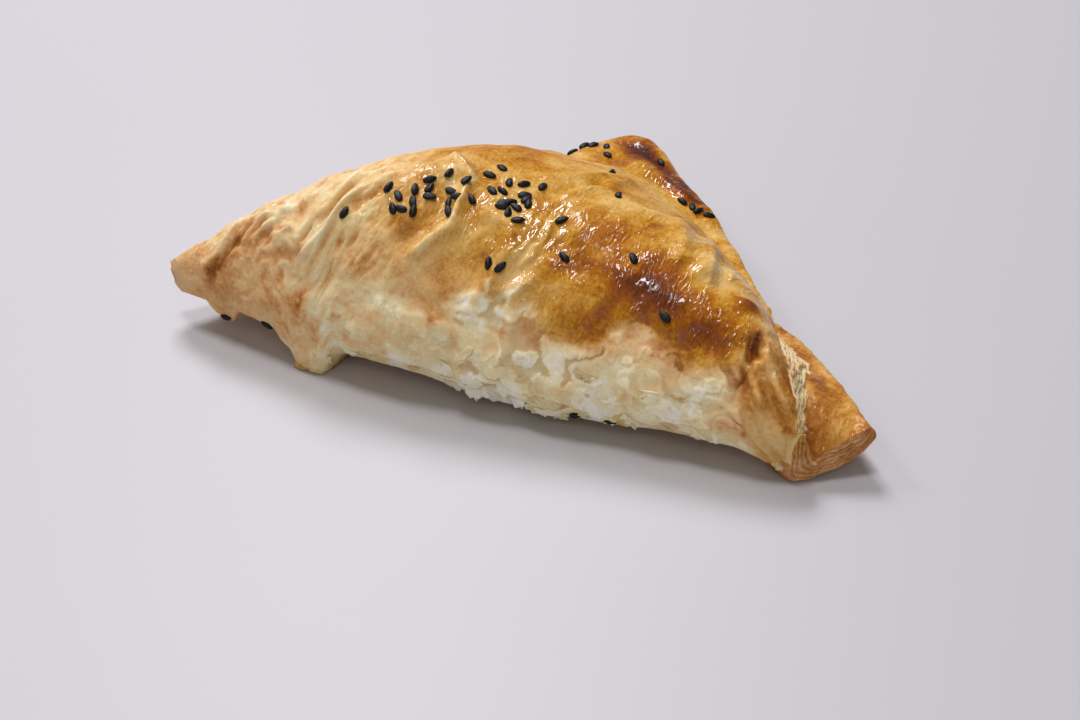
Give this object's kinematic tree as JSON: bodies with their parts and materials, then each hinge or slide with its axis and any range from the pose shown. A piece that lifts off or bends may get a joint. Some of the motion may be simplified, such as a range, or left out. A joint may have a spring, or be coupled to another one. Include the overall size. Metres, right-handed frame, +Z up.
{
  "type": "turnover pastry",
  "caption": "Triangular baked turnover of layered puff dough with a domed filled middle, sealed edges, a browned glazed top and black seeds.",
  "frame": {"origin": "middle of the base of the bounding box, on the plane the pastry rests on", "axes": "+X along the fold from the raised left tip to the cut right corner, +Y from the fold to the far corner, +Z up"},
  "size_m": [0.1606, 0.0994, 0.0425],
  "materials": {
    "baked_puff_pastry": "golden egg-washed crust over pale flaky dough",
    "nigella_seed": "black seeds with a slight sheen"
  },
  "bodies": {
    "root": {"turnover": "baked_puff_pastry"}
  },
  "joints": []
}
